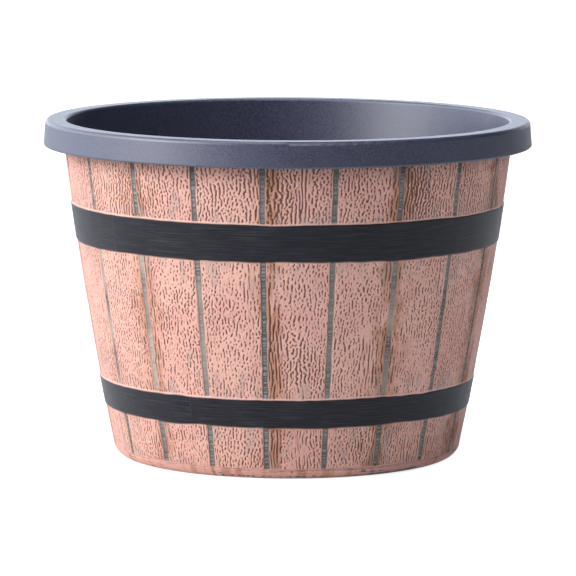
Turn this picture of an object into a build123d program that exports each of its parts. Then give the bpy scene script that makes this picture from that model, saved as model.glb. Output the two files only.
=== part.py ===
from build123d import *
import math
import os

os.makedirs("parts", exist_ok=True)

# Overall sizes, in millimetres. The planter stands on z = 0, with its front towards -Y.
height = 263.0
rim_diameter = 380.0
base_diameter = 267.4
stave_bulge = 3.0
rim_overhang = 13.4
wall = 4.0

# Foot and floor
base_corner = 12.0
foot_land = 5.0
floor_lift = 4.0
floor_thickness = 4.0
floor_corner = 8.0
base_groove_height = 8.0
base_groove_radius = 0.8
foot_draft = 20
floor_rib_count = 8
floor_rib_thickness = 2.0
floor_rib_drop = 2.4

# Rim: a top plate with a skirt that hangs clear of the wall, and gussets hidden between them
rim_height = 20.0
rim_flare = 1.6
rim_skin = 3.2
rim_corner = 3.0
lip_radius = 2.2
skirt_edge = 1.2
gussets_per_stave = 2
gusset_thickness = 1.8
gusset_recess = 6.0

# Staves: boards in relief, parted by grooves
stave_count = 19
first_groove_azimuth = -6.4
groove_width = 4.2
groove_depth = 1.1
groove_end_border = 1.4

# Hoops: heights are of each strap's middle
upper_hoop_height = 185.0
upper_hoop_width = 28.6
lower_hoop_height = 52.3
lower_hoop_width = 21.6
hoop_thickness = 1.4
hoop_proud = 0.6
hoop_seat_gap = 0.05
hoop_side_gap = 0.15
upper_lap_azimuth = -52.0
lower_lap_azimuth = -30.0
lap_length = 24.0
lap_step = 0.3

# Drain holes and their plugs: one in the middle and four round it
drain_circle_radius = 72.0
drain_count = 4
first_drain_azimuth = 22.5
drain_bore = 16.0
collar_wall = 3.0
collar_drop = 3.0
plug_seat_depth = 1.2
plug_flange_diameter = 24.0
plug_flange_thickness = 1.8
plug_shank_length = 5.6
plug_taper = 0.35
plug_wall = 1.6
plug_fit = 0.05
plug_seat_gap = 0.05
plug_flange_gap = 0.6
plug_flange_edge = 0.6
grip_length = 12.0
grip_thickness = 2.6
grip_height = 4.0
grip_edge = 0.8

# Worked out from the sizes above
rim_radius = rim_diameter / 2
base_radius = base_diameter / 2
neck_radius = rim_radius - rim_overhang
rim_underside = height - rim_skin
skirt_bottom = height - rim_height
floor_top = floor_lift + floor_thickness
foot_inner_radius = base_radius - base_corner - foot_land
hoop_channel_depth = hoop_thickness - hoop_proud + hoop_seat_gap
collar_radius = drain_bore / 2 + collar_wall
plug_flange_radius = plug_flange_diameter / 2
plug_shank_radius = drain_bore / 2 - plug_fit
plug_underside = floor_top - plug_seat_depth + plug_seat_gap


def front_angle(azimuth):
    """Angle about +Z of a place that is an azimuth to the right of the front."""
    return azimuth - 90


def radial_plane(angle):
    """Upright plane through the axis, whose x is the radius and whose y is the height."""
    outward = (math.cos(math.radians(angle)), math.sin(math.radians(angle)), 0)
    sideways = (math.sin(math.radians(angle)), -math.cos(math.radians(angle)), 0)
    return Plane(origin=(0, 0, 0), x_dir=outward, z_dir=sideways)


def stave_radius(z):
    """Outer radius of the staves at a height: a straight taper with a slight bulge."""
    share = z / height
    return base_radius + (neck_radius - base_radius) * share + 4 * stave_bulge * share * (1 - share)


def stave_curve(z_start, z_end, inset):
    """Arc between two heights that follows the staves at an inset from their surface."""
    heights = (z_start, (z_start + z_end) / 2, z_end)
    return ThreePointArc(*[(stave_radius(z) - inset, z) for z in heights])


def stave_band(z_low, z_high, inner_inset, outer_inset):
    """Closed section between two insets that both follow the staves."""
    with BuildLine() as band:
        stave_curve(z_low, z_high, inner_inset)
        stave_curve(z_low, z_high, outer_inset)
        for z in (z_low, z_high):
            Line((stave_radius(z) - inner_inset, z), (stave_radius(z) - outer_inset, z))
    make_face(band.edges())


def corner_at(sketch, radius, z):
    """The vertex of a section nearest to a radius and a height."""
    return sketch.vertices().sort_by_distance((radius, z))[0]


# Each hoop's lowest and highest edge, and the azimuth of its lap
hoops = {
    "upper_hoop": (upper_hoop_height, upper_hoop_width, upper_lap_azimuth),
    "lower_hoop": (lower_hoop_height, lower_hoop_width, lower_lap_azimuth),
}
channels = [
    (middle - width / 2 - hoop_side_gap, middle + width / 2 + hoop_side_gap)
    for middle, width, azimuth in hoops.values()
]
upper_channel, lower_channel = channels

# Heights that each run of grooves covers: foot to lower hoop, hoop to hoop, and upper hoop to under the rim
stave_runs = [
    (base_groove_height + base_groove_radius + groove_end_border, lower_channel[0] - groove_end_border),
    (lower_channel[1] + groove_end_border, upper_channel[0] - groove_end_border),
    (upper_channel[1] + groove_end_border, skirt_bottom + rim_height / 2),
]

# Places of the drain holes on the floor
drain_places = [(0, 0)]
for n in range(drain_count):
    turn = math.radians(front_angle(first_drain_azimuth) + 360 / drain_count * n)
    drain_places.append((drain_circle_radius * math.cos(turn), drain_circle_radius * math.sin(turn)))

# One upright groove in three runs, at angle 0, ready to be repeated round the wall
with BuildPart() as groove_cutter:
    for z_low, z_high in stave_runs:
        groove_turn = math.degrees(groove_width / stave_radius((z_low + z_high) / 2))
        with BuildSketch(radial_plane(-groove_turn / 2)):
            stave_band(z_low, z_high, groove_depth, -groove_depth)
        revolve(axis=Axis.Z, revolution_arc=groove_turn)

with BuildPart() as pot_body:
    # Outside of the pot, turned as a solid: foot, staves and rim
    with BuildSketch(Plane.XZ) as outside:
        with BuildLine():
            stave_curve(0, rim_underside, 0)
            Polyline(
                (stave_radius(rim_underside), rim_underside),
                (rim_radius - rim_flare - rim_skin, rim_underside),
                (rim_radius - rim_skin, skirt_bottom),
                (rim_radius, skirt_bottom),
                (rim_radius - rim_flare, height),
                (0, height),
                (0, 0),
                (stave_radius(0), 0),
            )
        make_face()
        fillet(corner_at(outside, stave_radius(0), 0), base_corner)
        fillet(corner_at(outside, rim_radius - rim_flare, height), rim_corner)
        fillet(corner_at(outside, rim_radius, skirt_bottom), skirt_edge)
        fillet(corner_at(outside, rim_radius - rim_skin, skirt_bottom), skirt_edge)
    revolve(axis=Axis.Z)

    # Gussets that tie the skirt to the wall, out of sight under the rim
    gusset_count = gussets_per_stave * stave_count
    first_gusset = front_angle(first_groove_azimuth) + 180 / gusset_count
    gusset_root = stave_radius(skirt_bottom) - wall / 2
    with BuildSketch(*[radial_plane(first_gusset + 360 / gusset_count * n) for n in range(gusset_count)]):
        Polygon(
            (gusset_root, rim_underside + rim_skin / 2),
            (rim_radius - rim_flare - rim_skin / 2, rim_underside + rim_skin / 2),
            (rim_radius - rim_skin / 2, skirt_bottom + gusset_recess),
            (gusset_root, skirt_bottom + gusset_recess),
            align=None,
        )
    extrude(amount=gusset_thickness / 2, both=True)

    # Inside of the pot, with a rounded floor corner and lip
    with BuildSketch(Plane.XZ) as inside:
        with BuildLine():
            stave_curve(floor_top, height, wall)
            Polyline(
                (stave_radius(height) - wall, height),
                (0, height),
                (0, floor_top),
                (stave_radius(floor_top) - wall, floor_top),
            )
        make_face()
        fillet(corner_at(inside, stave_radius(floor_top) - wall, floor_top), floor_corner)
    revolve(axis=Axis.Z, mode=Mode.SUBTRACT)
    top_edges = edges().filter_by(GeomType.CIRCLE).group_by(Axis.Z)[-1]
    fillet(top_edges.sort_by(SortBy.RADIUS)[0], lip_radius)

    # Hollow under the floor, with ribs, a ring and a collar round each drain hole
    with BuildSketch(Plane.XY):
        Circle(foot_inner_radius)
    extrude(amount=floor_lift, taper=foot_draft, mode=Mode.SUBTRACT)
    with BuildSketch(Plane.XY.offset(floor_lift)):
        Circle(drain_circle_radius + floor_rib_thickness / 2)
        Circle(drain_circle_radius - floor_rib_thickness / 2, mode=Mode.SUBTRACT)
        with PolarLocations(foot_inner_radius / 2, floor_rib_count, start_angle=front_angle(0)):
            Rectangle(foot_inner_radius, floor_rib_thickness)
    extrude(amount=-floor_rib_drop)
    with BuildSketch(Plane.XY.offset(floor_lift)):
        with Locations(*drain_places):
            Circle(collar_radius)
    extrude(amount=-collar_drop)

    # Drain holes, each with a seat for its plug's flange
    with Locations(*[(x, y, floor_top) for x, y in drain_places]):
        CounterBoreHole(
            radius=drain_bore / 2,
            counter_bore_radius=plug_flange_radius + plug_flange_gap,
            counter_bore_depth=plug_seat_depth,
            depth=floor_top,
        )

    # Channels for the hoops, and the groove above the foot
    with BuildSketch(Plane.XZ):
        for z_low, z_high in channels:
            stave_band(z_low, z_high, hoop_channel_depth, -hoop_thickness)
    revolve(axis=Axis.Z, mode=Mode.SUBTRACT)
    with BuildSketch(Plane.XZ):
        with Locations((stave_radius(base_groove_height), base_groove_height)):
            Circle(base_groove_radius)
    revolve(axis=Axis.Z, mode=Mode.SUBTRACT)

    # Grooves between the staves
    with PolarLocations(0, stave_count, start_angle=front_angle(first_groove_azimuth)):
        add(groove_cutter.part, mode=Mode.SUBTRACT)
pot_body.part.label = "pot_body"
export_step(pot_body.part, "parts/pot_body.step")

# Hoops: each a strap in its channel, with the outer end of its lap a little proud
for name, (middle, width, lap_azimuth) in hoops.items():
    z_low = middle - width / 2
    z_high = middle + width / 2
    seam = front_angle(lap_azimuth)
    lap_turn = math.degrees(lap_length / stave_radius(middle))
    with BuildPart() as hoop:
        with BuildSketch(radial_plane(seam)):
            stave_band(z_low, z_high, hoop_thickness - hoop_proud, -hoop_proud)
        revolve(axis=Axis.Z)
        with BuildSketch(radial_plane(seam)):
            stave_band(z_low, z_high, 0, -hoop_proud - lap_step)
        revolve(axis=Axis.Z, revolution_arc=lap_turn)
    hoop.part.label = name
    export_step(hoop.part, f"parts/{name}.step")

# Drain plugs: hollow stoppers that push in from above, each with a grip on top
for number, (x, y) in enumerate(drain_places, start=1):
    with BuildPart() as plug:
        with BuildSketch(Plane(origin=(x, y, plug_underside), x_dir=(1, 0, 0), z_dir=(0, -1, 0))):
            with BuildLine():
                Polyline(
                    (0, plug_flange_thickness),
                    (plug_flange_radius, plug_flange_thickness),
                    (plug_flange_radius, 0),
                    (plug_shank_radius, 0),
                    (plug_shank_radius - plug_taper, -plug_shank_length),
                    (plug_shank_radius - plug_taper - plug_wall, -plug_shank_length),
                    (plug_shank_radius - plug_taper - plug_wall, 0),
                    (0, 0),
                    close=True,
                )
            make_face()
        revolve(axis=Axis((x, y, 0), (0, 0, 1)))
        flange_top = plug_underside + plug_flange_thickness
        rounded = edges().filter_by_position(Axis.Z, flange_top, flange_top)
        fillet(rounded, plug_flange_edge)
        with BuildSketch(Plane((x, y, flange_top))):
            SlotOverall(grip_length, grip_thickness)
        extrude(amount=grip_height)
        fillet(faces().sort_by(Axis.Z)[-1].edges(), grip_edge)
    plug.part.label = f"drain_plug_{number}"
    export_step(plug.part, f"parts/drain_plug_{number}.step")
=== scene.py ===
import math

import bpy
import numpy as np
from mathutils import Matrix, Vector
from mathutils.bvhtree import BVHTree


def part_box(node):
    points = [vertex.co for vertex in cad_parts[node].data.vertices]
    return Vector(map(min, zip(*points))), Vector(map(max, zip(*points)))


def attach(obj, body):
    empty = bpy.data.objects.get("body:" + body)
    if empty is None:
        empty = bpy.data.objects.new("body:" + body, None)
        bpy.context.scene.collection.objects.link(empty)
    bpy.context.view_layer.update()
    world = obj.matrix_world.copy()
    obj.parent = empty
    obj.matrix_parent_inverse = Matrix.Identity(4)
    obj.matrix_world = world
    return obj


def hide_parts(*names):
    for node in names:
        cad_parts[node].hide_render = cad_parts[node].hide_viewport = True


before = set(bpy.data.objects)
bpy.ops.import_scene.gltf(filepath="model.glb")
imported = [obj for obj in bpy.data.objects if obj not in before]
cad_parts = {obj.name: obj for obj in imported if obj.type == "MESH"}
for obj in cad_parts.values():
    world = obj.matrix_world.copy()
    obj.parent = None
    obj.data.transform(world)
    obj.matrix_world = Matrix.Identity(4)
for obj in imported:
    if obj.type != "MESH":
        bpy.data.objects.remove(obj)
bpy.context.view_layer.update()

MM = 0.001

# The pot's own sizes, in millimetres. The height, the rim's radius and the hoops' places come from the frame.
pot_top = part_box("pot_body")[1]
HEIGHT = pot_top.z / MM
RIM_RADIUS = pot_top.x / MM
HOOP_SPANS = {name: tuple(corner.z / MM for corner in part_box(name)) for name in ("upper_hoop", "lower_hoop")}
LOWER_HOOP = HOOP_SPANS["lower_hoop"]
UPPER_HOOP = HOOP_SPANS["upper_hoop"]
RIM_HEIGHT = 20.0
RIM_THICKNESS = 3.2
SKIRT_BOTTOM = HEIGHT - RIM_HEIGHT
RIM_UNDERSIDE = HEIGHT - RIM_THICKNESS

# Staves, in millimetres and degrees. Azimuth 0 is the front, and positive is to the right.
# The grooves in view lie where the photograph has them, and the others are spread evenly behind.
STAVES = 19
SEEN_GROOVES = (-61.1, -42.6, -24.4, -6.3, 12.1, 30.0, 48.9, 67.8)
HIDDEN_GROOVES = STAVES - len(SEEN_GROOVES)
HIDDEN_STEP = (360 + SEEN_GROOVES[0] - SEEN_GROOVES[-1]) / (HIDDEN_GROOVES + 1)
GROOVES = SEEN_GROOVES + tuple(SEEN_GROOVES[-1] + HIDDEN_STEP * (n + 1) for n in range(HIDDEN_GROOVES))
GROOVE_HALF_WIDTH = 2.1
GROOVE_SLOPE = 0.9
GROOVE_DEPTH = 1.0
GROOVE_WAVER = 0.16
BEAD_PITCH = 2.7
BEAD_STRAY = 0.35
BEAD_HEIGHT = 0.35
PIT_DEPTH = 0.42
SWELL_HEIGHT = 0.1
SWELL_RUN_IN = 6.0
FACE_SINK = 0.1
FACE_MOST_PROUD = 0.4

# The smooth moulded border at the ends of a run of staves, and the ledge that stands proud at its lower end
BORDER = 1.5
BORDER_SLOPE = 0.7
LEDGE_HEIGHT = 0.3

# Each stave is a thin board in front of the pot's own wall, which is sunk a little behind it
BOARD_DEPTH = 1.3
BOARD_LEAST = 0.1
SHELL_SINK = 1.35
SHELL_MARGIN = 0.1
SHELL_PROUD = 0.3
HOOP_OVERLAP = 2.2
RIM_GAP = 0.3

# How finely a stave is cut: its rows' step, the close columns' places at each edge, and the other columns
ROW_STEP = 0.62
EDGE_COLUMNS = np.arange(0, 3.6, 0.4)
MIDDLE_COLUMNS = 92
BACK_COLUMNS = 9

# How far below the rim the painted shade under its overhang reaches
RIM_SHADE_REACH = 16.0

# The groove over the base ring, and the ring's rows as lowest, highest and how many
BASE_GROOVE_TOP = 8.85
BASE_GROOVE_BOTTOM = 7.15
BASE_GROOVE_DEPTH = 0.55
RING_ROWS = ((0.6, 3.4, 12), (3.7, 6.9, 10), (7.1, BASE_GROOVE_TOP, 10))
RING_COLUMNS = 1800
RING_BACK = 0.8
RING_PROUD = 0.1
RING_MOST_WORN = 0.3

# The base ring's stitches, the line that runs on from them behind, the seam where they start, and its streaks.
# The stitches and the layered paint start and end over these azimuths.
STITCH_PITCH = 7.5
STITCH_HEIGHT = 2.6
STITCH_REACH = 0.7
STITCH_DEPTH = 0.22
STITCHED = ((-24, -22), (14, 10))
FAR_LINE_HEIGHT = 2.2
FAR_LINE_REACH = 0.5
SEAM_AZIMUTH = -24.5
SEAM_REACH = 0.35
STREAK_DEPTH = 0.05
LAYERED = ((-25, -23), (60, 40))

# Where the wall's outline is measured: half way between two of the CAD wall's grooves, clear of the hoops
CLEAR_AZIMUTH = 3.0
CLEAR_OF_HOOP = 1.0
PROFILE_STEP = 0.25
FOOT_CURVE_TOP = 14.0

# Hoops: how proud the strap stands, how far its edges wander, and each lap's azimuth, length and step
HOOP_PROUD = 0.6
HOOP_BACK = -0.8
HOOP_CORNER = 0.45
HOOP_WANDER = 0.12
HOOP_DENT = 0.06
HOOP_RIPPLE = 0.02
HOOP_FACE_MARGIN = 0.05
HOOP_COLUMNS = 1440
HOOP_FACE_ROWS = 24
CORNER_ANGLES = (0, 22, 45, 68, 90)
LAPS = {"upper_hoop": -52.0, "lower_hoop": -30.0}
LAP_LENGTH = 24.0
LAP_STEP = {"upper_hoop": 0.08, "lower_hoop": 0.25}

# How far each edge lies from the CAD strap's own: lower edge (0) and upper edge (1), positive upwards
EDGE_SHIFT = {
    ("upper_hoop", 0): -0.5,
    ("upper_hoop", 1): -0.9,
    ("lower_hoop", 0): 0.0,
    ("lower_hoop", 1): -0.4,
}

# Places where a hoop's edge is plainly higher or lower: azimuth in degrees, rise, and reach in degrees
EDGE_BUMPS = {
    ("lower_hoop", 0): ((-37.0, -0.9, 5.0), (-27.0, 0.7, 6.0), (11.0, -0.5, 9.0), (37.0, 0.6, 6.0)),
    ("lower_hoop", 1): ((-34.5, 0.6, 3.0), (-29.0, -0.4, 3.0), (25.0, 0.5, 8.0)),
    ("upper_hoop", 0): ((-44.0, 0.7, 9.0), (0.0, 0.6, 8.0), (32.0, -0.7, 9.0)),
    ("upper_hoop", 1): ((-3.0, -0.7, 5.0), (40.0, 0.4, 8.0)),
}

# Camera, from the photograph: metres, degrees, and a lens and sensor in millimetres
CAMERA_DISTANCE = 3.8
CAMERA_ABOVE_RIM = 0.3573
CAMERA_SIDE = 0.0006
CAMERA_PITCH = 7.354
CAMERA_ROLL = 0.227
CAMERA_LENS = 306.28
CAMERA_CLIP = (0.1, 50.0)
SENSOR = 36.0

# The bright parts of the room that the plastic mirrors: direction, the cosines of the angles from it where
# each starts and is full, and strength
BRIGHT_SIDES = (
    ((-1.0, 0.1, 0.0), 0.1, 0.95, 4.2),
    ((0.0, 1.0, 0.0), 0.8, 0.98, 3.2),
)
ROOM_GLOW = 0.04
ROOM_LIGHT = 0.34
ROOM_TINT = (0.82, 0.9, 1.0, 1.0)
WHITE = (1.0, 1.0, 1.0, 1.0)

# Soft square lamps: azimuth in degrees, then height, distance and size in metres, power and colour
LAMPS = {
    "key": (-66.0, 1.3, 2.3, 1.5, 64, WHITE[:3]),
    "sky": (-20.0, 2.3, 0.3, 1.5, 36, ROOM_TINT[:3]),
}
LAMP_AIM = (0, 0, 0.15)

# The floor: half its side in metres, and how it glows for the camera and for the plastic that mirrors it
FLOOR_REACH = 9
FLOOR_SEEN = 0.85
FLOOR_MIRRORED = 0.35

# Noise fields cover the unrolled wall, and repeat round it
MEAN_RADIUS = 155.0
FIELD_WIDTH = 2 * math.pi * MEAN_RADIUS
FIELD_HEIGHT = 300.0
FIELD_COLUMNS = 4096
FIELD_ROWS = 1280

# How far apart in the noise two staves' grain, two grooves' dust and beads, and the worn places are taken
STAVE_OFFSET = (37.0, 61.0)
DUST_OFFSET = 31.0
BEAD_OFFSET = 40.0
WORN_OFFSET = 211.0


def smoothstep(low, high, x):
    """0 below low, 1 above high, and smooth between."""
    t = np.clip((x - low) / (high - low), 0, 1)
    return t * t * (3 - 2 * t)


def hump(x, middle, reach):
    """1 in the middle, falling smoothly to 0 on both sides."""
    return np.exp(-(((x - middle) / reach) ** 2))


def field(seed, weigh):
    """Seeded noise over the wall, its frequencies round it and up it, per millimetre, weighed by a function."""
    white = np.random.default_rng(seed).standard_normal((FIELD_ROWS, FIELD_COLUMNS))
    up = np.abs(np.fft.fftfreq(FIELD_ROWS, FIELD_HEIGHT / FIELD_ROWS))[:, None]
    around = np.fft.rfftfreq(FIELD_COLUMNS, FIELD_WIDTH / FIELD_COLUMNS)[None, :]
    made = np.fft.irfft2(np.fft.rfft2(white) * weigh(around, up), s=white.shape)
    return (made / made.std()).astype(np.float32)


# The grain's pitch in millimetres, and how widely it varies as a share of it
SHORT_PITCH = (2.6, 2.4)
LONG_PITCH = 2.8
PITCH_SPREAD = 0.45


def short_grain(around, up):
    """Weight for pits about 3 mm apart, mostly short and upright, with some slants, hooks and lines."""
    ring = np.hypot(around * SHORT_PITCH[0], up * SHORT_PITCH[1])
    stroke = 0.9 * np.exp(-((up * 3.0) ** 2)) + 0.7 / (1 + (up * 20) ** 2)
    return hump(ring, 1, PITCH_SPREAD) * stroke


def long_grain(around, up):
    """Weight for long upright lines about 3 mm apart."""
    return hump(around * LONG_PITCH, 1, PITCH_SPREAD) / (1 + (up * 16) ** 2)


def drift(size_around, size_up):
    """Weight for smooth noise with no features smaller than these sizes, in millimetres."""
    return lambda around, up: np.exp(-((around * size_around) ** 2) - (up * size_up) ** 2)


SHORT = field(11, short_grain)
LONG = field(12, long_grain)
BEND = field(13, drift(26.0, 40.0))
CROWD = field(14, drift(34.0, 46.0))
LINES = field(15, drift(24.0, 90.0))
WAVER = field(16, drift(5.0, 9.0))
EDGE = field(17, drift(15.0, 30.0))
WEAR = field(18, drift(10.0, 26.0))


def sample(noise, s, z):
    """A noise field at places on the wall, in millimetres, blended between its cells."""
    x = (s / FIELD_WIDTH * FIELD_COLUMNS) % FIELD_COLUMNS
    y = (z / FIELD_HEIGHT * FIELD_ROWS) % FIELD_ROWS
    x0 = np.floor(x).astype(int) % FIELD_COLUMNS
    y0 = np.floor(y).astype(int) % FIELD_ROWS
    fx = x - np.floor(x)
    fy = y - np.floor(y)
    x1 = (x0 + 1) % FIELD_COLUMNS
    y1 = (y0 + 1) % FIELD_ROWS
    low = noise[y0, x0] * (1 - fx) + noise[y0, x1] * fx
    high = noise[y1, x0] * (1 - fx) + noise[y1, x1] * fx
    return low * (1 - fy) + high * fy


def along(azimuth):
    """Millimetres round the unrolled wall at an azimuth in degrees."""
    return np.radians(azimuth) * MEAN_RADIUS


def on_wall(azimuth, radius, z):
    """Points in metres from azimuths in degrees, and radii and heights in millimetres."""
    a = np.radians(azimuth)
    return np.stack([radius * np.sin(a), -radius * np.cos(a), z + 0 * a], axis=-1) * MM


def unrolled(s, z):
    """Places on the unrolled wall, as the vectors that the materials' noise is laid along."""
    return np.stack([s, z, np.zeros_like(s)], axis=-1)


def cad_tree(name):
    """A search tree over a CAD node's faces."""
    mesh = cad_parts[name].data
    mesh.calc_loop_triangles()
    corners = [vertex.co.copy() for vertex in mesh.vertices]
    triangles = [triangle.vertices[:] for triangle in mesh.loop_triangles]
    return BVHTree.FromPolygons(corners, triangles)


def measured_radii(tree, azimuth, heights):
    """Outer radius of a CAD node at each height, in millimetres, found by looking in from outside the rim."""
    radii = []
    for z in heights:
        start = Vector(on_wall(azimuth, RIM_RADIUS * 1.2, z))
        hit = tree.ray_cast(start, Vector((-start.x, -start.y, 0)).normalized())[0]
        radii.append(math.hypot(hit.x, hit.y) / MM)
    return np.array(radii)


# The wall's outer radius at a stave's middle: a smooth fit to the staves, and the foot's own curve under them
PROFILE_HEIGHTS = np.arange(PROFILE_STEP, SKIRT_BOTTOM - 2 * PROFILE_STEP, PROFILE_STEP)
PROFILE_RADII = measured_radii(cad_tree("pot_body"), CLEAR_AZIMUTH, PROFILE_HEIGHTS)
open_wall = PROFILE_HEIGHTS > FOOT_CURVE_TOP
for span_low, span_high in HOOP_SPANS.values():
    open_wall &= (PROFILE_HEIGHTS < span_low - CLEAR_OF_HOOP) | (PROFILE_HEIGHTS > span_high + CLEAR_OF_HOOP)
STAVE_FIT = np.polyfit(PROFILE_HEIGHTS[open_wall], PROFILE_RADII[open_wall], 2)


def stave_radius(z):
    """Outer radius of the staves at a height, without grooves or pits."""
    foot = np.interp(z, PROFILE_HEIGHTS, PROFILE_RADII)
    fitted = np.polyval(STAVE_FIT, z)
    in_groove = (z > BASE_GROOVE_BOTTOM) & (z < BASE_GROOVE_TOP)
    return np.where((z < FOOT_CURVE_TOP) & ~in_groove, np.minimum(fitted, foot), fitted)


def hoop_edge(name, side, azimuth):
    """Height of a hoop's lower (side 0) or upper (side 1) edge at an azimuth, which wanders a little."""
    z = HOOP_SPANS[name][side] + EDGE_SHIFT[name, side]
    own_row = np.full_like(azimuth, z)
    z = z + HOOP_WANDER * sample(EDGE, along(azimuth), own_row)
    for place, rise, reach in EDGE_BUMPS[name, side]:
        z = z + rise * hump((azimuth - place + 180) % 360 - 180, 0, reach)
    return z


def add_object(name, data):
    """An object with this data, linked into the scene."""
    obj = bpy.data.objects.new(name, data)
    bpy.context.collection.objects.link(obj)
    return obj


def on_pot(obj, node):
    """Marks a piece as part of the pot's body."""
    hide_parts(node)
    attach(obj, "pot")
    return obj


class Mesh:
    """Points, faces and point attributes, gathered from grids and made into one object."""

    def __init__(self):
        self.points = []
        self.quads = []
        self.caps = []
        self.sharp = []
        self.values = {}
        self.count = 0

    def grid(self, points, values, close_rows=False, close_columns=False):
        """Adds a grid of points with each attribute's value at each point, and gives back its point numbers."""
        rows, columns = points.shape[:2]
        index = self.count + np.arange(rows * columns).reshape(rows, columns)
        self.count += rows * columns
        self.points.append(points.reshape(-1, 3))
        for key, value in values.items():
            self.values.setdefault(key, []).append(value.reshape(rows * columns, -1))
        a = index if close_rows else index[:-1]
        d = np.roll(index, -1, axis=0) if close_rows else index[1:]
        b = np.roll(a, -1, axis=1)
        c = np.roll(d, -1, axis=1)
        if not close_columns:
            a, b, c, d = a[:, :-1], b[:, :-1], c[:, :-1], d[:, :-1]
        self.quads.append(np.stack([a, b, c, d], axis=-1).reshape(-1, 4))
        return index

    def cap(self, ring):
        """Adds one flat face round a row of points."""
        self.caps.append(np.asarray(ring))

    def crease(self, lines):
        """Makes rows of point numbers into sharp edges."""
        self.sharp.extend(lines)

    def make(self, name, material):
        """The object, smooth but for its creases."""
        points = np.concatenate(self.points).astype(np.float32)
        quads = np.concatenate(self.quads)
        corners = np.concatenate([quads.reshape(-1), *self.caps])
        starts = np.concatenate([[0], np.cumsum([4] * len(quads) + [len(c) for c in self.caps])])[:-1]
        mesh = bpy.data.meshes.new(name)
        mesh.vertices.add(len(points))
        mesh.vertices.foreach_set("co", points.reshape(-1))
        mesh.loops.add(len(corners))
        mesh.loops.foreach_set("vertex_index", corners.astype(np.int32))
        mesh.polygons.add(len(starts))
        mesh.polygons.foreach_set("loop_start", starts.astype(np.int32))
        mesh.update(calc_edges=True)
        for key, parts in self.values.items():
            value = np.concatenate(parts).astype(np.float32)
            wide = value.shape[1] == 3
            layer = mesh.attributes.new(key, "FLOAT_VECTOR" if wide else "FLOAT", "POINT")
            layer.data.foreach_set("vector" if wide else "value", value.reshape(-1))
        mesh.shade_smooth()
        if self.sharp:
            line = np.full(len(points), -1)
            for number, numbers in enumerate(self.sharp):
                line[numbers] = number
            ends = np.zeros(len(mesh.edges) * 2, dtype=np.int32)
            mesh.edges.foreach_get("vertices", ends)
            a, b = line[ends.reshape(-1, 2)].T
            layer = mesh.attributes.new("sharp_edge", "BOOLEAN", "EDGE")
            layer.data.foreach_set("value", (a >= 0) & (a == b))
        mesh.materials.append(material)
        return add_object(name, mesh)


class Nodes:
    """Short calls that add shader nodes to a material or the world, and join them."""

    def __init__(self, owner):
        self.owner = owner
        owner.use_nodes = True
        self.tree = owner.node_tree

    def new(self, kind, inputs=None, **settings):
        """A node with these settings, and with its sockets set or joined."""
        node = self.tree.nodes.new(kind)
        for key, value in settings.items():
            setattr(node, key, value)
        for key, value in (inputs or {}).items():
            self.feed(node.inputs[key], value)
        return node

    def feed(self, socket, value):
        """Joins a socket to another node's, or sets its value."""
        if isinstance(value, bpy.types.NodeSocket):
            self.tree.links.new(value, socket)
        else:
            socket.default_value = value

    def attribute(self, name, output="Fac"):
        """A point attribute of the mesh."""
        return self.new("ShaderNodeAttribute", attribute_name=name).outputs[output]

    def place(self):
        """Places on the object, in millimetres."""
        spot = self.new("ShaderNodeTexCoord").outputs["Object"]
        inputs = {0: spot, "Scale": 1 / MM}
        return self.new("ShaderNodeVectorMath", inputs, operation="SCALE").outputs["Vector"]

    def noise(self, vector, size, detail=2.0, roughness=0.5, stretch=None):
        """Noise with features of about a size in millimetres, or of a size each way."""
        if stretch:
            scale = tuple(1 / x for x in stretch)
            vector = self.new("ShaderNodeMapping", {"Vector": vector, "Scale": scale}).outputs[0]
        inputs = {"Vector": vector, "Scale": 1 / size, "Detail": detail, "Roughness": roughness}
        return self.new("ShaderNodeTexNoise", inputs).outputs["Fac"]

    def ramp(self, value, low, high, to_low=0.0, to_high=1.0):
        """A value carried smoothly from one range to another."""
        inputs = {"Value": value, "From Min": low, "From Max": high, "To Min": to_low, "To Max": to_high}
        return self.new("ShaderNodeMapRange", inputs, interpolation_type="SMOOTHSTEP").outputs["Result"]

    def math(self, operation, a, b):
        """Two values added, multiplied or compared."""
        return self.new("ShaderNodeMath", {0: a, 1: b}, operation=operation).outputs[0]

    def mirrored(self, path):
        """1 for a ray that has been mirrored or has passed through something, and 0 for others."""
        return self.math("MAXIMUM", path.outputs["Is Glossy Ray"], path.outputs["Is Transmission Ray"])

    def between(self, factor, a, b):
        """A value between two others."""
        return self.new("ShaderNodeMix", {0: factor, 2: a, 3: b}).outputs[0]

    def mix(self, factor, a, b, blend="MIX"):
        """A colour between two others, or one blended over another."""
        node = self.new("ShaderNodeMix", data_type="RGBA", blend_type=blend)
        for socket, value in zip(("Factor_Float", "A_Color", "B_Color"), (factor, a, b)):
            self.feed(next(i for i in node.inputs if i.identifier == socket), value)
        return next(o for o in node.outputs if o.identifier == "Result_Color")

    def bump(self, height, distance, strength=1.0):
        """A normal from a height, which stands for a distance in millimetres."""
        inputs = {"Height": height, "Strength": strength, "Distance": distance * MM}
        return self.new("ShaderNodeBump", inputs).outputs[0]

    def finish(self, **sockets):
        """Sets or joins the material's own sockets, and gives back the material."""
        shader = self.tree.nodes["Principled BSDF"]
        for key, value in sockets.items():
            self.feed(shader.inputs[key.replace("_", " ")], value)
        return self.owner


def material_nodes(name):
    """The nodes of a new material."""
    return Nodes(bpy.data.materials.new(name))


def rgb(red, green, blue):
    """A colour written as it looks on screen, 0 to 255."""
    linear = [((c / 255 + 0.055) / 1.055) ** 2.4 if c > 10 else c / 255 / 12.92 for c in (red, green, blue)]
    return (*linear, 1.0)


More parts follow.
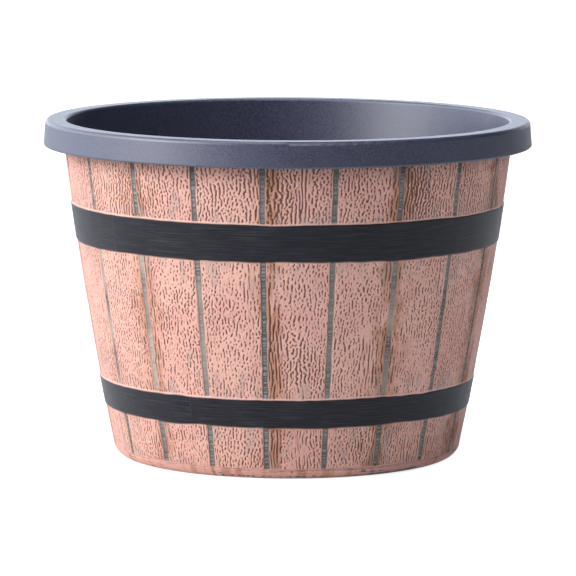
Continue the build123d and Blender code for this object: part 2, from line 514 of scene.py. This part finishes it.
def dark_plastic():
    """Moulded dark plastic of the rim and the inside: satin, with a fine grain."""
    n = material_nodes("dark_plastic")
    place = n.place()
    patches = n.noise(place, 60.0, 3.0)
    grain = n.noise(place, 1.1, 2.0, 0.6)
    scuffs = n.noise(place, 5.0, 4.0, 0.7)
    colour = n.mix(n.ramp(patches, 0.3, 0.7), rgb(40, 40, 60), rgb(47, 47, 68))
    colour = n.mix(n.ramp(grain, 0.35, 0.7, 0.0, 0.6), colour, rgb(82, 82, 104))
    colour = n.mix(n.ramp(scuffs, 0.62, 0.8, 0.0, 0.2), colour, rgb(110, 110, 124))
    height = n.math("ADD", grain, n.math("MULTIPLY", scuffs, 0.4))
    return n.finish(
        Base_Color=colour,
        Roughness=n.ramp(grain, 0.25, 0.75, 0.38, 0.5),
        Specular_IOR_Level=0.75,
        Normal=n.bump(height, 0.06, 0.6),
    )


# How rough and how shiny the paint is
PAINT_ROUGHNESS = (0.5, 0.66)
PAINT_SPECULAR = 0.35


def paint_over(n, pits, wall, place):
    """The paint's colour with its pits worn dark, and the noise that breaks up its surface."""
    tone = n.noise(place, 38.0, 3.0, 0.6)
    fine = n.noise(wall, 1.0, 3.0, 0.65, stretch=(1.0, 2.2, 1.0))
    smear = n.noise(wall, 1.0, 2.0, 0.5, stretch=(2.2, 16.0, 1.0))
    colour = n.mix(n.ramp(tone, 0.35, 0.65), rgb(228, 176, 160), rgb(222, 166, 152))
    colour = n.mix(n.ramp(smear, 0.5, 0.8, 0.0, 0.3), colour, rgb(206, 150, 128))
    colour = n.mix(n.ramp(fine, 0.45, 0.8, 0.0, 0.45), colour, rgb(246, 204, 190))
    colour = n.mix(n.ramp(fine, 0.5, 0.2, 0.0, 0.3), colour, rgb(190, 134, 116))
    rim = n.math("ADD", pits, n.ramp(fine, 0.2, 0.8, -0.2, 0.2))
    halo = n.ramp(rim, -0.5, 0.25, 0.0, 0.3)
    colour = n.mix(halo, colour, rgb(182, 124, 106))
    inside = n.mix(n.ramp(smear, 0.35, 0.65), rgb(112, 66, 54), rgb(92, 66, 60))
    colour = n.mix(n.ramp(rim, 0.0, 0.75, 0.0, 0.96), colour, inside)
    return colour, fine


def painted_staves():
    """Copper-pink paint on moulded staves, worn off the pits and the grooves down to the dark plastic, with
    painted highlights, a painted shadow at the hoops and painted shade under the rim.
    """
    n = material_nodes("painted_staves")
    wall = n.attribute("wall", "Vector")
    colour, fine = paint_over(n, n.attribute("grain"), wall, n.place())
    colour = n.mix(n.ramp(n.attribute("ochre"), 0.0, 1.0, 0.0, 0.85), colour, rgb(202, 182, 148), "MULTIPLY")
    colour = n.mix(n.ramp(n.attribute("worn"), 0.3, 1.0, 0.0, 0.32), colour, rgb(158, 146, 140))
    # Painted highlight along the upward-facing ledge above each hoop
    colour = n.mix(n.attribute("pale"), colour, rgb(228, 190, 178))
    cast_noise = n.noise(wall, 1.2, 3.0, 0.7)
    cast = n.mix(n.ramp(cast_noise, 0.35, 0.65), rgb(54, 53, 55), rgb(94, 92, 91))
    cast = n.mix(n.attribute("dust"), cast, rgb(184, 164, 150))
    bead = n.math("MULTIPLY", n.attribute("bead"), n.ramp(cast_noise, 0.3, 0.55, 0.4, 1.0))
    cast = n.mix(bead, cast, rgb(146, 142, 139))
    colour = n.mix(n.ramp(n.attribute("groove"), 0.1, 0.75), colour, cast)
    # Painted highlight on the left-facing edge of each stave, at the right side of each groove
    colour = n.mix(n.attribute("groove_highlight"), colour, rgb(168, 160, 168))
    # Dark line at the hoops: a narrow one above each hoop is the paint's dark edge, a wider one below it is
    # painted shadow
    colour = n.mix(n.attribute("hoop_line_and_shadow"), colour, rgb(70, 36, 34))
    # Painted shade under the rim's overhang, deepest in the grooves
    colour = n.mix(n.attribute("rim_shade"), colour, rgb(84, 62, 58), "MULTIPLY")
    return n.finish(
        Base_Color=colour,
        Roughness=n.ramp(fine, 0.2, 0.8, *PAINT_ROUGHNESS),
        Specular_IOR_Level=PAINT_SPECULAR,
        Normal=n.bump(fine, 0.12, 0.5),
    )


def painted_base():
    """The same paint on the base ring, layered in long streaks with a broken dark line along the middle."""
    n = material_nodes("painted_base")
    wall = n.attribute("wall", "Vector")
    streaks = n.noise(wall, 1.0, 3.0, 0.6, stretch=(26.0, 0.9, 1.0))
    colour, fine = paint_over(n, n.attribute("grain"), wall, n.place())
    colour = n.mix(n.ramp(streaks, 0.52, 0.7, 0.0, 0.6), colour, rgb(128, 112, 108))
    colour = n.mix(n.attribute("ochre"), colour, rgb(196, 164, 124), "MULTIPLY")
    return n.finish(
        Base_Color=colour,
        Roughness=n.ramp(fine, 0.2, 0.8, *PAINT_ROUGHNESS),
        Specular_IOR_Level=PAINT_SPECULAR,
        Normal=n.bump(streaks, 0.15, 0.6),
    )


def hoop_plastic():
    """Near-black plastic strap with fine streaks along it."""
    n = material_nodes("hoop_plastic")
    wall = n.attribute("wall", "Vector")
    streaks = n.noise(wall, 1.0, 4.0, 0.7, stretch=(34.0, 0.7, 1.0))
    nicks = n.noise(wall, 1.0, 2.0, 0.6, stretch=(5.0, 0.6, 1.0))
    patches = n.noise(n.place(), 30.0, 3.0)
    colour = n.mix(n.ramp(patches, 0.35, 0.65), rgb(17, 16, 22), rgb(24, 23, 30))
    colour = n.mix(n.ramp(streaks, 0.45, 0.75, 0.0, 0.6), colour, rgb(74, 74, 86))
    colour = n.mix(n.ramp(nicks, 0.7, 0.78, 0.0, 0.35), colour, rgb(120, 120, 130))
    return n.finish(
        Base_Color=colour,
        Roughness=n.ramp(streaks, 0.3, 0.7, 0.36, 0.5),
        Specular_IOR_Level=0.2,
        Normal=n.bump(streaks, 0.1, 0.8),
    )


def plug_rubber():
    """Smooth black rubber of the drain plugs."""
    n = material_nodes("plug_rubber")
    dust = n.noise(n.place(), 3.0, 3.0)
    colour = n.mix(n.ramp(dust, 0.5, 0.8), rgb(34, 34, 36), rgb(58, 57, 58))
    rough = n.ramp(dust, 0.3, 0.7, 0.5, 0.65)
    return n.finish(Base_Color=colour, Roughness=rough, Normal=n.bump(dust, 0.05, 0.5))


# The stain and dust at each groove, from the left of the view round to its right, then a seeded draw behind:
# ochre on its left side, ochre on its right side, and how far dust hides it between the hoops
SEEN_STAINS = (
    (0.3, 0.2, 0.85),
    (0.6, 0.75, 0.7),
    (0.15, 0.15, 0.45),
    (0.3, 1.0, 0.08),
    (0.1, 0.1, 0.25),
    (1.0, 0.8, 0.6),
    (0.2, 0.3, 0.3),
    (0.9, 0.9, 0.1),
)
HIDDEN_STAINS = np.random.default_rng(5).uniform(0.0, 0.6, (HIDDEN_GROOVES, 3))
STAINS = np.concatenate([SEEN_STAINS, HIDDEN_STAINS])
OUTER_RUN_DUST = 0.15
DUST_SWING = 0.35
MOST_DUST = 0.95
OCHRE_REACH = 12.0
OCHRE_REACH_SWING = 0.3
OCHRE_SWING = 0.25

# The grain, in units of its noise: how sparse it is, what crowding and ochre add, how strongly the borders and
# the grooves clear it, and where a pit reaches its full depth
GRAIN_SPARSE = 0.42
GRAIN_CROWDED = 0.13
GRAIN_IN_OCHRE = 0.35
CLEAR_AT_END = 2.5
CLEAR_AT_GROOVE = 1.6
PIT_FULL = 0.9

# Long lines in the grain: where the noise starts them and fills them in, how ochre brings them out, how strong
# they are beside the short strokes, and how far all the grain bends
LINES_SPAN = (0.5, 1.8)
LINES_IN_OCHRE = 0.8
LINES_STRENGTH = 1.15
GRAIN_BEND = 0.5

# Painted highlight at each groove's right edge; strengths of the hoops' dark line and painted shadow, the
# ledges' painted highlight and the painted shade under the rim
GROOVE_HIGHLIGHT_PLACE = 0.35
GROOVE_HIGHLIGHT_WIDTH = 0.4
GROOVE_HIGHLIGHT_STRENGTH = 0.5
HOOP_LINE_AND_SHADOW_STRENGTH = 0.85
LEDGE_HIGHLIGHT_STRENGTH = 0.8
RIM_SHADE_STRENGTH = 0.75

# Worn paint: its mean, how much the noise adds, and how it fades towards the middle of a run
WORN_MEAN = 0.4
WORN_SWING = 0.45
WORN_FADE = 0.02


def stave_span(number):
    """Azimuths of the grooves on the left and right of a stave."""
    left = GROOVES[number]
    right = GROOVES[(number + 1) % STAVES]
    return left, right + 360 * (right < left)


def stave_columns(step):
    """Angles across a stave, closer together at its edges."""
    margin = EDGE_COLUMNS / MEAN_RADIUS
    middle = np.linspace(margin[-1], step - margin[-1], MIDDLE_COLUMNS)[1:-1]
    return np.concatenate([margin, middle, step - margin[::-1]])


def stave_relief(number, turns, heights, edges, dusty, coarse):
    """Depth of one run of a stave at a grid of places, with the attributes that its paint follows."""
    low_edge, high_edge = edges
    turn, z = np.meshgrid(turns, heights)
    left_groove, right_groove = number, (number + 1) % STAVES
    azimuth = stave_span(number)[0] + np.degrees(turn)
    s = along(azimuth)
    radius = stave_radius(z)
    waver = GROOVE_WAVER * sample(WAVER, s, z)
    from_left = turn * radius + waver
    from_right = (turns[-1] - turn) * radius + waver
    to_groove = np.minimum(from_left, from_right)
    nearer = np.where(from_left < from_right, left_groove, right_groove)
    above_low = z - low_edge(azimuth)
    below_high = high_edge(azimuth) - z
    to_end = np.minimum(above_low, below_high)

    # The groove with its beads, and the dust in it
    groove = 1 - smoothstep(GROOVE_HALF_WIDTH - GROOVE_SLOPE, GROOVE_HALF_WIDTH + GROOVE_SLOPE, to_groove)
    groove = groove * smoothstep(BORDER - BORDER_SLOPE, BORDER + BORDER_SLOPE, above_low)
    beat = z / BEAD_PITCH + BEAD_STRAY * sample(WAVER, BEAD_OFFSET * nearer, 2 * z)
    bead = smoothstep(-0.1, 0.7, np.sin(2 * math.pi * beat))
    bead = bead * smoothstep(0.9, 0.4, to_groove / GROOVE_HALF_WIDTH)
    dust = STAINS[nearer, 2] if dusty else np.full_like(z, OUTER_RUN_DUST)
    dust = np.clip(dust * (1 + DUST_SWING * sample(WEAR, DUST_OFFSET * nearer, z)), 0, MOST_DUST)

    # The ochre that spreads from the grooves on both sides
    own_s = s + STAVE_OFFSET[0] * number
    own_z = z + STAVE_OFFSET[1] * number
    ochre_reach = OCHRE_REACH * (1 + OCHRE_REACH_SWING * sample(WEAR, own_s, own_z))
    ochre = STAINS[left_groove, 1] * hump(from_left, 0, ochre_reach)
    ochre = ochre + STAINS[right_groove, 0] * hump(from_right, 0, ochre_reach)
    ochre = np.clip(ochre * (1 + OCHRE_SWING * sample(WAVER, own_s, own_z)), 0, 1)

    # The grain: short strokes, and long lines in places
    lines = np.maximum(smoothstep(*LINES_SPAN, sample(LINES, own_s, own_z)), LINES_IN_OCHRE * ochre)
    grain_s = own_s + GRAIN_BEND * sample(BEND, own_s, own_z)
    long_strokes = LINES_STRENGTH * sample(LONG, grain_s, own_z)
    grain = sample(SHORT, grain_s, own_z) * (1 - lines) + long_strokes * lines
    grain = grain - GRAIN_SPARSE + coarse
    grain = grain + GRAIN_CROWDED * sample(CROWD, own_s, own_z) + GRAIN_IN_OCHRE * ochre
    grain = grain - CLEAR_AT_END * (1 - smoothstep(0.2, BORDER + 0.5, to_end))
    grain = grain - CLEAR_AT_GROOVE * (1 - smoothstep(GROOVE_HALF_WIDTH, GROOVE_HALF_WIDTH + 0.8, to_groove))

    # Wear, the painted highlight beside the grooves, the dark line and painted shadow at the hoops, the painted
    # highlight on the ledges, and the painted shade under the rim
    worn = WORN_MEAN + WORN_SWING * sample(WEAR, own_s + WORN_OFFSET, own_z) - WORN_FADE * to_end
    # Painted highlight along the right edge of each groove, patchy with wear
    groove_highlight = hump(from_left - GROOVE_HALF_WIDTH, GROOVE_HIGHLIGHT_PLACE, GROOVE_HIGHLIGHT_WIDTH)
    groove_highlight = groove_highlight * smoothstep(-0.2, 0.8, sample(WEAR, own_s, own_z)) * GROOVE_HIGHLIGHT_STRENGTH
    # The paint's dark edge just above each hoop, and painted shadow just below it
    hoop_line_and_shadow = np.maximum(1 - smoothstep(0.0, 0.6, above_low), 1 - smoothstep(0.2, 1.3, below_high))
    # Painted highlight on the upward-facing ledge just above each hoop and above the base groove
    pale = LEDGE_HIGHLIGHT_STRENGTH * smoothstep(0.5, 0.9, above_low) * smoothstep(BORDER + 0.2, BORDER - 0.3, above_low)
    # Painted shade under the rim's overhang, stronger in the grooves
    rim_shade = RIM_SHADE_STRENGTH * smoothstep(SKIRT_BOTTOM - RIM_SHADE_REACH, SKIRT_BOTTOM, z) * (0.45 + 0.55 * groove)

    # The depth of all this below the smooth wall
    pits = smoothstep(0.0, PIT_FULL, grain) * PIT_DEPTH
    swell = SWELL_HEIGHT * np.clip(sample(BEND, own_s, own_z), -1, 1) * smoothstep(0, SWELL_RUN_IN, to_groove)
    ledge = (1 - smoothstep(0.3, BORDER + 0.6, above_low)) * LEDGE_HEIGHT
    depth = np.maximum(pits, groove * (GROOVE_DEPTH - BEAD_HEIGHT * bead)) + FACE_SINK + swell - ledge
    values = {
        "wall": unrolled(own_s, own_z),
        "grain": grain,
        "groove": groove,
        "bead": bead,
        "dust": dust,
        "ochre": ochre,
        "worn": worn,
        "rim_shade": rim_shade,
        "pale": pale * (1 - groove),
        "groove_highlight": groove_highlight * (1 - groove),
        "hoop_line_and_shadow": HOOP_LINE_AND_SHADOW_STRENGTH * np.clip(hoop_line_and_shadow, 0, 1),
    }
    return azimuth, radius - np.clip(depth, -FACE_MOST_PROUD, BOARD_DEPTH - BOARD_LEAST), z, values


def level(z):
    """An edge at the same height all round."""
    return lambda azimuth: np.full_like(azimuth, z)


def hoop_side(name, side):
    """A hoop's lower or upper edge, as a function of the azimuth."""
    return lambda azimuth: hoop_edge(name, side, azimuth)


# The three runs of the staves, from the foot up: lowest and highest point, lower and upper edge, whether dust
# lies in the grooves as STAINS says, and how much coarser the grain is
RUNS = (
    (
        (BASE_GROOVE_TOP, LOWER_HOOP[0] + HOOP_OVERLAP),
        (level(BASE_GROOVE_TOP - BORDER), hoop_side("lower_hoop", 0)),
        False,
        0.05,
    ),
    (
        (LOWER_HOOP[1] - HOOP_OVERLAP, UPPER_HOOP[0] + HOOP_OVERLAP),
        (hoop_side("lower_hoop", 1), hoop_side("upper_hoop", 0)),
        True,
        0.0,
    ),
    (
        (UPPER_HOOP[1] - HOOP_OVERLAP, RIM_UNDERSIDE - RIM_GAP),
        (hoop_side("upper_hoop", 1), level(RIM_UNDERSIDE + BORDER)),
        False,
        0.3,
    ),
)


def stave(number, material):
    """One stave as a thin board in relief, in three runs: foot to hoop, hoop to hoop, and hoop to rim."""
    left, right = stave_span(number)
    turns = stave_columns(math.radians(right - left))
    count = len(turns)
    mesh = Mesh()
    for (z_low, z_high), edges, dusty, coarse in RUNS:
        heights = np.linspace(z_low, z_high, round((z_high - z_low) / ROW_STEP))
        azimuth, radius, z, values = stave_relief(number, turns, heights, edges, dusty, coarse)
        back_azimuth, back_z = np.meshgrid(np.linspace(right, left, BACK_COLUMNS), heights)
        back = on_wall(back_azimuth, stave_radius(back_z) - BOARD_DEPTH, back_z)
        front = on_wall(azimuth, radius, z)
        for key, value in values.items():
            shape = (len(heights), BACK_COLUMNS, *value.shape[2:])
            values[key] = np.concatenate([value, np.broadcast_to(value[:, -1:], shape)], axis=1)
        index = mesh.grid(np.concatenate([front, back], axis=1), values, close_columns=True)
        mesh.cap(index[0][::-1])
        mesh.cap(index[-1])
        mesh.crease([index[:, 0], index[:, count - 1], index[:, count], index[:, -1], index[0], index[-1]])
    return on_pot(mesh.make(f"stave_{number + 1:02d}", material), "pot_body")


def hoop(name, material):
    """A strap with slightly uneven edges, rounded corners and the end of its lap a little proud."""
    lap = LAPS[name]
    azimuth = lap + np.linspace(0, 360, HOOP_COLUMNS + 1)[:-1]
    bottom = hoop_edge(name, 0, azimuth)
    top = hoop_edge(name, 1, azimuth)
    back = [(bottom, HOOP_BACK), ((bottom + top) / 2, HOOP_BACK), (top, HOOP_BACK)]
    angles = np.radians(CORNER_ANGLES)
    corner = HOOP_CORNER
    shoulder = HOOP_PROUD - corner
    high = [(top - corner * (1 - math.cos(a)), shoulder + corner * math.sin(a)) for a in angles]
    low = [(bottom + corner * (1 - math.cos(a)), shoulder + corner * math.sin(a)) for a in angles[::-1]]
    shares = np.linspace(0, 1, HOOP_FACE_ROWS)[1:-1]
    across = [(top - corner + (bottom - top + 2 * corner) * share, HOOP_PROUD) for share in shares]
    rows = (back + high + across + low)[::-1]
    z = np.array([row[0] for row in rows])
    rise = np.array([np.full_like(azimuth, row[1]) for row in rows])
    past_seam = along(azimuth - lap)
    step = LAP_STEP[name] * np.clip(1 - past_seam / LAP_LENGTH, 0, 1)
    rise = rise + step[None, :] * (rise > 0)
    s = np.broadcast_to(past_seam[None, :], z.shape)
    dent = HOOP_DENT * np.minimum(sample(BEND, s, z), 0) + HOOP_RIPPLE * sample(WAVER, s * 0.3, z * 3)
    rise = rise + dent * (rise > HOOP_PROUD - HOOP_FACE_MARGIN)
    mesh = Mesh()
    points = on_wall(azimuth[None, :] + 0 * z, stave_radius(z) + rise, z)
    mesh.grid(points, {"wall": unrolled(s, z)}, close_rows=True, close_columns=True)
    return on_pot(mesh.make(f"{name}_strap", material), name)


def base_ring(material):
    """The painted band below the base groove, with layered streaks and a broken line of dark stitches."""
    azimuth = np.linspace(-180, 180, RING_COLUMNS + 1)[:-1]
    heights = np.concatenate([np.linspace(*span) for span in RING_ROWS])
    around, z = np.meshgrid(azimuth, heights)
    s = along(around)
    groove_middle = (BASE_GROOVE_BOTTOM + BASE_GROOVE_TOP) / 2
    dip = hump((z - groove_middle) / (BASE_GROOVE_TOP - groove_middle), 0, 0.7)

    # The stitches in front, the line behind, and the seam
    stitches = smoothstep(0.0, 0.5, np.sin(2 * math.pi * s / STITCH_PITCH + sample(WAVER, s, z)))
    stitched = smoothstep(*STITCHED[0], around) * smoothstep(*STITCHED[1], around)
    line = hump(z, STITCH_HEIGHT, STITCH_REACH) * stitches * stitched
    seam = hump(around, SEAM_AZIMUTH, SEAM_REACH)
    far_line = hump(z, FAR_LINE_HEIGHT, FAR_LINE_REACH) * smoothstep(0.2, 1.0, sample(WEAR, s, 40 + 0 * z))
    streak = sample(WAVER, s * 0.12, z * 4.5)
    grain = np.maximum(line, 0.8 * seam) * 1.4 + 0.9 * far_line * (1 - stitched) + 0.28 * streak - 0.75
    grain = np.maximum(grain * (1 - dip), 0.45 * dip - 0.25)

    # The depth of all this below the smooth wall
    layered = smoothstep(*LAYERED[0], around) * smoothstep(*LAYERED[1], around)
    depth = STITCH_DEPTH * smoothstep(-0.2, 0.6, grain) + STREAK_DEPTH * streak * layered
    depth = np.clip(depth, 0, RING_MOST_WORN)
    radius = stave_radius(z) + RING_PROUD * (1 - dip) - depth * (1 - dip) - BASE_GROOVE_DEPTH * dip
    front = on_wall(around, radius, z)
    back = on_wall(around[::-1], stave_radius(z[::-1]) - RING_BACK, z[::-1])
    values = {
        "wall": unrolled(s, z),
        "grain": grain,
        "ochre": 0.5 * smoothstep(0.0, 1.2, sample(WEAR, s, 20 + 0 * z)),
    }
    values = {key: np.concatenate([value, value[::-1]], axis=0) for key, value in values.items()}
    mesh = Mesh()
    index = mesh.grid(np.concatenate([front, back], axis=0), values, close_rows=True, close_columns=True)
    mesh.crease([index[0], index[len(heights) - 1]])
    return on_pot(mesh.make("base_ring", material), "pot_body")


def pot_shell(material):
    """The moulding itself: rim, inside, floor, foot and underside, with the wall behind the staves sunk in."""
    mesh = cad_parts["pot_body"].data.copy()
    mesh.name = "pot_shell"
    points = np.zeros(len(mesh.vertices) * 3, dtype=np.float32)
    mesh.vertices.foreach_get("co", points)
    points = points.reshape(-1, 3)
    radius = np.hypot(points[:, 0], points[:, 1]) / MM
    z = points[:, 2] / MM
    wall = stave_radius(z)
    under = (z > BASE_GROOVE_TOP - SHELL_MARGIN) & (z < RIM_UNDERSIDE - SHELL_MARGIN)
    under &= (radius > wall - SHELL_SINK) & (radius < wall + SHELL_PROUD)
    points[under, :2] *= ((wall - SHELL_SINK) / radius)[under, None]
    mesh.vertices.foreach_set("co", points.reshape(-1))
    mesh.update()
    mesh.materials.clear()
    mesh.materials.append(material)
    return on_pot(add_object("pot_shell", mesh), "pot_body")


def area_light(name, azimuth, height, distance, size, power, colour):
    """A soft square lamp aimed at the pot, from an azimuth in degrees and a height and distance in metres."""
    lamp = bpy.data.lights.new(name, "AREA")
    lamp.size = size
    lamp.energy = power
    lamp.color = colour
    obj = add_object(name, lamp)
    a = math.radians(azimuth)
    obj.location = (distance * math.sin(a), -distance * math.cos(a), height)
    aim = Vector(LAMP_AIM) - obj.location
    obj.rotation_euler = aim.to_track_quat("-Z", "Y").to_euler()


def floor():
    """A plain pale floor that looks white to the camera, and keeps the pot's shadow."""
    n = material_nodes("floor_white")
    path = n.new("ShaderNodeLightPath")
    seen = n.math("MULTIPLY", path.outputs["Is Camera Ray"], FLOOR_SEEN)
    mirrored = n.math("MULTIPLY", n.mirrored(path), FLOOR_MIRRORED)
    material = n.finish(
        Base_Color=(0.8, 0.8, 0.8, 1.0),
        Roughness=0.9,
        Specular_IOR_Level=0.0,
        Emission_Color=WHITE,
        Emission_Strength=n.math("ADD", seen, mirrored),
    )
    r = FLOOR_REACH
    mesh = bpy.data.meshes.new("floor")
    mesh.from_pydata([(-r, -r, 0), (r, -r, 0), (r, r, 0), (-r, r, 0)], [], [(0, 1, 2, 3)])
    mesh.materials.append(material)
    add_object("floor", mesh)


def studio():
    """White surroundings, which the plastic mirrors as bright at the left and behind the pot, and lamps."""
    world = bpy.data.worlds.new("studio")
    bpy.context.scene.world = world
    n = Nodes(world)
    direction = n.new("ShaderNodeTexCoord").outputs["Generated"]
    glow = 0.0
    for side, start, full, strength in BRIGHT_SIDES:
        towards = n.new("ShaderNodeVectorMath", {0: direction, 1: side}, operation="DOT_PRODUCT")
        lobe = n.ramp(towards.outputs["Value"], start, full, ROOM_GLOW / len(BRIGHT_SIDES), strength)
        glow = n.math("ADD", glow, lobe)
    path = n.new("ShaderNodeLightPath")
    seen = path.outputs["Is Camera Ray"]
    background = n.tree.nodes["Background"]
    n.feed(background.inputs["Color"], n.mix(seen, ROOM_TINT, WHITE))
    n.feed(background.inputs["Strength"], n.between(seen, n.between(n.mirrored(path), ROOM_LIGHT, glow), 1.0))
    for name, settings in LAMPS.items():
        area_light(name, *settings)


def camera():
    """The camera that took the photograph."""
    data = bpy.data.cameras.new("camera")
    data.sensor_width = SENSOR
    data.lens = CAMERA_LENS
    data.clip_start, data.clip_end = CAMERA_CLIP
    obj = add_object("camera", data)
    obj.location = (CAMERA_SIDE, -CAMERA_DISTANCE, HEIGHT * MM + CAMERA_ABOVE_RIM)
    tilt = Matrix.Rotation(math.radians(90 - CAMERA_PITCH), 3, "X")
    roll = Matrix.Rotation(math.radians(CAMERA_ROLL), 3, "Z")
    obj.rotation_euler = (tilt @ roll).to_euler()
    bpy.context.scene.camera = obj


paint = painted_staves()
pot_shell(dark_plastic())
for number in range(STAVES):
    stave(number, paint)
base_ring(painted_base())
strap_plastic = hoop_plastic()
for name in HOOP_SPANS:
    hoop(name, strap_plastic)
rubber = plug_rubber()
for name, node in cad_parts.items():
    if name.startswith("drain_plug"):
        for slot in node.material_slots:
            slot.material = rubber

floor()
studio()
camera()
bpy.context.scene.view_settings.view_transform = "Standard"
